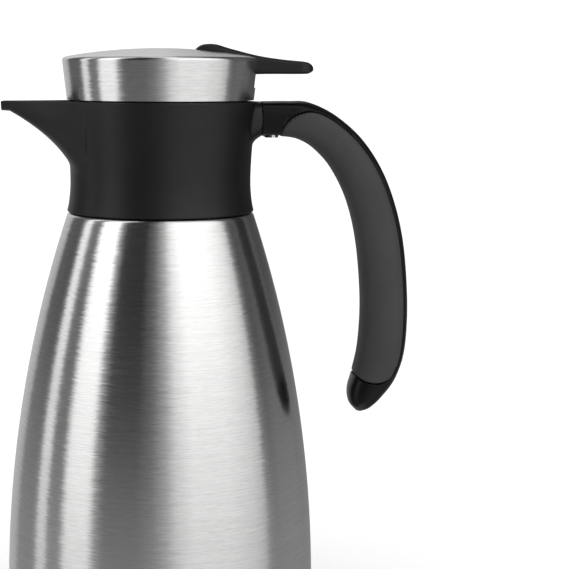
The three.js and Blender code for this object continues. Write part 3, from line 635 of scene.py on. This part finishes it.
def close_ends(points, centres, bulge):
    """Adds small domes to the two ends of the skin."""
    rings = [points]
    for end, step in ((0, 1), (-1, -1)):
        away = centres[end] - centres[end + step]
        away /= np.linalg.norm(away)
        dome = []
        for turn in np.radians([25, 50, 72]):
            shrunk = centres[end] + (points[end] - centres[end]) * math.cos(turn)
            dome.append(shrunk + away * bulge[end] * math.sin(turn))
        rings = [np.array(dome[::-1]), *rings] if end == 0 else [*rings, np.array(dome)]
    return np.concatenate(rings)


def make_handle():
    outline = grip_outline()
    t = np.concatenate([
        np.linspace(0, 0.12, 30), np.linspace(0.12, 0.3, 90)[1:], np.linspace(0.3, 0.68, 90)[1:],
        np.linspace(0.68, 0.86, 90)[1:], np.linspace(0.86, 1, 40)[1:],
    ])
    points, centres = handle_rings(t)
    normal = skin_normals(points, centres)
    depth = inside_distance(outline, points[..., 0], points[..., 2])
    pocket = POCKET_DEPTH * smoothstep(-0.25, 0.3, depth)
    frame_points = points - normal * pocket[..., None]
    body = tube_object("handle_skin", close_ends(frame_points, centres, {0: 0.01, -1: 0.3}), 50)
    low, high = SCREW_RECESS_Z
    for side in (-1, 1):
        recess = [(0, low), (SCREW_RECESS_R, low), (SCREW_RECESS_R, high), (0, high)]
        cutter = turned_object("cut", recess, 32)
        place = Vector((HANDLE_SCREW_X, HANDLE_SCREW_Y * side, 0)) * MM
        cutter.data.transform(Matrix.Translation(place))
        cut_away(body, cutter)

    keep = (t > 0.06) & (t < 0.86)
    rise = np.clip((depth - GRIP_GAP + 0.1) / 0.7, 0, 1)
    sunk = GRIP_SUNK * (1 - np.sqrt(1 - (1 - rise) ** 2))
    sunk = np.where(depth < GRIP_GAP - 0.1, GRIP_SUNK, sunk)
    grip_points = (points - normal * sunk[..., None])[keep]
    grip = tube_object("grip_skin", grip_points, 50)
    return body, grip


handle_skin, grip_skin = make_handle()
dress(handle_skin, "carafe", ["handle_frame"], HANDLE_BLACK)
dress(grip_skin, "carafe", ["handle_grip"], GRIP)


# ---- lid -----------------------------------------------------------------------------------------
def dome_z(r, drop=0.0):
    return CAP_TOP_Z - DOME_R + math.sqrt(DOME_R * DOME_R - r * r) - drop


def cap_profile(inset, steps):
    (low_r, low_z), (rim_r, rim_z) = CAP_BOTTOM, CAP_RIM
    lean = math.degrees(math.atan2(rim_r - low_r, rim_z - low_z))
    side = [
        (low_r + (rim_r - low_r) * f - inset, low_z + (rim_z - low_z) * f)
        for f in np.linspace(0, 0.96, steps)
    ]
    corner_steps = 10 if inset == 0 else 5
    corner = arc(rim_r - CAP_CORNER_R, rim_z, CAP_CORNER_R - inset, -lean, 80, corner_steps)
    dome = [(r, dome_z(r, inset)) for r in np.linspace(35, 0, 4 * steps)]
    return side + corner + dome


def make_cap():
    profile = cap_profile(0, 8) + cap_profile(CAP_T, 4)[::-1]
    cap = turned_object("cap_skin", profile, 320, 30)
    outline = [(60, -SLOT_HALF_Y), (60, SLOT_HALF_Y)]
    for middle, start in ((SLOT_HALF_Y - SLOT_CORNER, 90), (SLOT_CORNER - SLOT_HALF_Y, 180)):
        outline += arc(SLOT_X + SLOT_CORNER, middle, SLOT_CORNER, start, start + 90, 8)
    rings = [[(x, y, z) for x, y in outline] for z in (SLOT_FLOOR_Z, 240)]
    cut_away(cap, tube_object("cut", rings))
    shade(cap, 30)
    return cap


def loft_x(stations, around, power):
    """Rounded boxes along X. Each station is x, bottom, top and half width."""
    angles = np.linspace(0, 2 * math.pi, around, endpoint=False) + math.pi / around
    c, s = np.cos(angles), np.sin(angles)
    u = np.sign(c) * np.abs(c) ** (2 / power)
    v = np.sign(s) * np.abs(s) ** (2 / power)
    return [
        [(x, half * a, (low + high) / 2 + (high - low) / 2 * b) for a, b in zip(u, v)]
        for x, low, high, half in stations
    ]


LEVER_TOP = [
    (LEVER_START_X, 226.6), (12.9, 228.5), (14.2, 230.1), (16.1, 231.1), (19, 231.4), (21.8, 231.1),
    (24.4, 230.3), (27.9, 229.3), (37.1, 227), (46, 225.6), (55.1, 224.7), (57.6, 223.9),
    (58.7, 222.7), (LEVER_END_X, 221.7),
]
LEVER_UNDER = [
    (LEVER_START_X, 223.6), (12.8, 221.6), (14, 220.2), (16, 219.3), (20, 218.9), (30, 219.3),
    (39.1, 219.8), (54.8, 219.9), (57.4, 220.3), (58.6, 221), (LEVER_END_X, 221.4),
]


def make_lever():
    top = spline(LEVER_TOP, np.linspace(0, 1, 500))
    under = spline(LEVER_UNDER, np.linspace(0, 1, 500))
    x = np.concatenate([
        LEVER_START_X + 2.5 * (1 - np.cos(np.linspace(0, math.pi / 2, 12))),
        np.arange(15.4, 53, 0.8),
        LEVER_END_X - 5.4 + 5.4 * np.sin(np.linspace(0, math.pi / 2, 22)),
    ])
    high, low = np.interp(x, top[:, 0], top[:, 1]), np.interp(x, under[:, 0], under[:, 1])
    past = np.clip((x - (LEVER_END_X - LEVER_CORNER_R)) / LEVER_CORNER_R, 0, 1)
    half = LEVER_HALF_WIDTH - LEVER_CORNER_R * (1 - np.sqrt(1 - past**2))
    front = np.clip((13.6 - x) / 1.3, 0, 1)
    half = half - 1.2 * (1 - np.sqrt(1 - front**2))
    paddle = tube_object("paddle", loft_x(zip(x, low, high, half), 88, 6.5), 60)
    hollow = turned_object("cut", [(0, -20), (PIN_HOLE_R, -20), (PIN_HOLE_R, 20), (0, 20)], 32)
    at_pivot = Matrix.Translation((PIVOT[0] * MM, 0, PIVOT[1] * MM))
    hollow.data.transform(at_pivot @ Matrix.Rotation(math.pi / 2, 4, "X"))
    cut_away(paddle, hollow)
    prongs = []
    stations = [
        (-1.3, 217.6, 218.4), (-0.9, 217.1, 218.9), (0, 216.7, 219.3), (1.2, 216.9, 219.4),
        (16, 219, 222.6),
    ]
    for side in (-1, 1):
        rings = np.array(loft_x([(*station, PRONG_HALF) for station in stations], 24, 4.0))
        rings[..., 1] += side * PRONG_Y
        prongs.append(tube_object("prong", rings, 50))
    lever = joined("lever_skin", [paddle, *prongs])
    shade(lever, 50)
    return lever


dress(make_cap(), "lid", ["lid_cap"], BRUSHED)
dress(make_lever(), "lever", ["thumb_lever"], BLACK)


# ---- valve spring, and the frame's own pieces that stay ------------------------------------------
def make_spring():
    """A coil whose first and last turns lie closer together than the others."""
    angles = np.linspace(0, 2 * math.pi * SPRING_TURNS, SPRING_TURNS * 40 + 1)
    open_coils = np.clip(np.minimum(angles, angles[-1] - angles) / (2 * math.pi), 0, 1)
    rise = np.cumsum(0.35 + 0.65 * open_coils)
    rise = (rise - rise[0]) / (rise[-1] - rise[0])
    low, high = SPRING_Z[0] + SPRING_WIRE, SPRING_Z[1] - SPRING_WIRE
    section = np.linspace(0, 2 * math.pi, 12, endpoint=False)
    rings = []
    for a, z in zip(angles, low + (high - low) * rise):
        out = SPRING_R + SPRING_WIRE * np.cos(section)
        level = z + SPRING_WIRE * np.sin(section)
        rings.append(np.stack([out * math.cos(a), out * math.sin(a), level], axis=1))
    return tube_object("spring_coil", rings, 60)


spring = dress(make_spring(), "valve", ["valve_spring"], SPRING)
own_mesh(spring)

FINISHES = {
    "satin_steel": LINER, "spring_steel": SPRING, "inner_plastic": INNER, "silicone": SILICONE,
    "foam": FOAM, "black_plastic": BLACK, "soft_grip": GRIP, "brushed_steel": BRUSHED,
}
slot_of = {part["node"]: part["material_slot"] for part in frame["record"]["subparts"]}
for node, obj in frame["nodes"].items():
    obj.data.materials.clear()
    obj.data.materials.append(FINISHES[slot_of[node]])
    shade(obj, 32)


# ---- studio --------------------------------------------------------------------------------------
def emitter(name):
    material = bpy.data.materials.new(name)
    material.use_nodes = True
    tree = material.node_tree
    tree.nodes.clear()
    out = tree.nodes.new("ShaderNodeOutputMaterial")
    emission = tree.nodes.new("ShaderNodeEmission")
    tree.links.new(emission.outputs[0], out.inputs[0])
    return material, tree, emission


# A round wall of soft boxes and dark flags, which only reflections see. Its brightness runs round the
# jug, in degrees from the camera's side towards the handle: the main box lies at 12 to 82 and a strip
# at -73 to -54.
WALL_TONES = [
    (-180, 0.45), (-150, 0.45), (-138, 0.36), (-131, 0.06), (-110, 0.04), (-105, 0.12), (-101, 0.8),
    (-94, 0.75), (-90, 0.08), (-79, 0.08), (-73, 1.0), (-54, 1.0), (-49, 0.2), (-43, 0.0), (-18, 0.0),
    (-6, 0.08), (4, 0.3), (12, 0.66), (24, 0.9), (52, 0.88), (72, 0.7), (82, 0.5), (86, 0.12),
    (93, 0.03), (104, 0.06), (125, 0.05), (133, 0.02), (150, 0.02), (160, 0.03), (170, 0.25),
    (180, 0.45),
]
# Haze added to the wall and strength left to its pattern, by height in metres.
WALL_HAZE = [
    (-4.0, 0.12), (-0.45, 0.14), (-0.2, 0.14), (0.0, 0.09), (0.15, 0.035), (0.35, 0.02), (5.0, 0.02),
]
WALL_PATTERN = [
    (-4.0, 0.3), (-0.4, 0.28), (-0.2, 0.31), (0.0, 0.48), (0.15, 0.6), (0.4, 0.78), (0.75, 1.0),
    (1.3, 0.6), (5.0, 0.45),
]
WALL_Z, WALL_R, WALL_STRENGTH, WALL_SIDES = (-4.0, 5.0), 0.9, 1.6, 180
WORLD_STRENGTH, FLOOR_HALF, FLOOR_TONE = 1.15, 6.0, 0.97
CAMERA_PLACE, CAMERA_LENS, CAMERA_SHIFT = (0, -0.573, 0.2216), 93.32, (0.12, -0.12)
CAMERA_ANGLES = (2.169, 5.686, 0.206)  # degrees of pan, downward tilt and roll


def ramp_of(tree, value, low, high, levels):
    """A grey ramp through (position, level) pairs, with the value running from low to high."""
    spread = tree.nodes.new("ShaderNodeMapRange")
    spread.inputs["From Min"].default_value, spread.inputs["From Max"].default_value = low, high
    tree.links.new(value, spread.inputs[0])
    ramp = tree.nodes.new("ShaderNodeValToRGB")
    tree.links.new(spread.outputs[0], ramp.inputs[0])
    stops = ramp.color_ramp.elements
    while len(stops) > 1:
        stops.remove(stops[-1])
    for i, (at, level) in enumerate(levels):
        stop = stops[0] if i == 0 else stops.new((at - low) / (high - low))
        stop.position = (at - low) / (high - low)
        stop.color = (level, level, level, 1)
    return ramp.outputs[0]


def make_wall():
    material, tree, emission = emitter("studio_wall")
    place = tree.nodes.new("ShaderNodeTexCoord")
    split = tree.nodes.new("ShaderNodeSeparateXYZ")
    tree.links.new(place.outputs["Object"], split.inputs[0])
    turned = tree.nodes.new("ShaderNodeMath")
    turned.operation = "MULTIPLY"
    turned.inputs[1].default_value = -1
    tree.links.new(split.outputs[1], turned.inputs[0])
    angle = tree.nodes.new("ShaderNodeMath")
    angle.operation = "ARCTAN2"
    tree.links.new(split.outputs[0], angle.inputs[0])
    tree.links.new(turned.outputs[0], angle.inputs[1])
    radians = [(math.radians(degrees), level) for degrees, level in WALL_TONES]
    tones = ramp_of(tree, angle.outputs[0], -math.pi, math.pi, radians)
    level = tree.nodes.new("ShaderNodeMath")
    level.operation = "MULTIPLY_ADD"
    tree.links.new(tones, level.inputs[0])
    tree.links.new(ramp_of(tree, split.outputs[2], *WALL_Z, WALL_PATTERN), level.inputs[1])
    tree.links.new(ramp_of(tree, split.outputs[2], *WALL_Z, WALL_HAZE), level.inputs[2])
    tree.links.new(level.outputs[0], emission.inputs[0])
    emission.inputs[1].default_value = WALL_STRENGTH
    radius = WALL_R / MM
    around = np.linspace(0, 2 * math.pi, WALL_SIDES, endpoint=False)
    points = [(radius * math.sin(a), -radius * math.cos(a), z / MM) for z in WALL_Z for a in around]
    wall = make_object("studio_wall", points, grid_faces(2, WALL_SIDES))
    wall.data.materials.append(material)
    wall.visible_camera = wall.visible_diffuse = wall.visible_shadow = False


def make_floor():
    half = FLOOR_HALF / MM
    corners = [(-half, -half, 0), (half, -half, 0), (half, half, 0), (-half, half, 0)]
    floor = make_object("studio_floor", corners, [(0, 1, 2, 3)])
    n = Nodes("studio_floor")
    n.set(Base_Color=(*grey(FLOOR_TONE), 1), Roughness=0.8)
    floor.data.materials.append(n.material)
    floor.visible_glossy = False


def make_world():
    world = bpy.data.worlds.new("studio")
    world.use_nodes = True
    background = world.node_tree.nodes["Background"]
    background.inputs[0].default_value = (1, 1, 1, 1)
    background.inputs[1].default_value = WORLD_STRENGTH
    bpy.context.scene.world = world
    bpy.context.scene.view_settings.view_transform = "Standard"
    bpy.context.scene.view_settings.look = "None"


def make_camera():
    data = bpy.data.cameras.new("camera")
    camera = bpy.data.objects.new("camera", data)
    bpy.context.scene.collection.objects.link(camera)
    data.sensor_width, data.lens = 36, CAMERA_LENS
    data.shift_x, data.shift_y = CAMERA_SHIFT
    pan, tilt, roll = (math.radians(angle) for angle in CAMERA_ANGLES)
    camera.location = CAMERA_PLACE
    level = math.cos(tilt)
    ahead = Vector((math.sin(pan) * level, math.cos(pan) * level, -math.sin(tilt)))
    turn = ahead.to_track_quat("-Z", "Y").to_matrix() @ Matrix.Rotation(roll, 3, "Z")
    camera.rotation_euler = turn.to_euler()
    data.clip_start, data.clip_end = 0.01, 50
    bpy.context.scene.camera = camera


make_wall()
make_floor()
make_world()
make_camera()
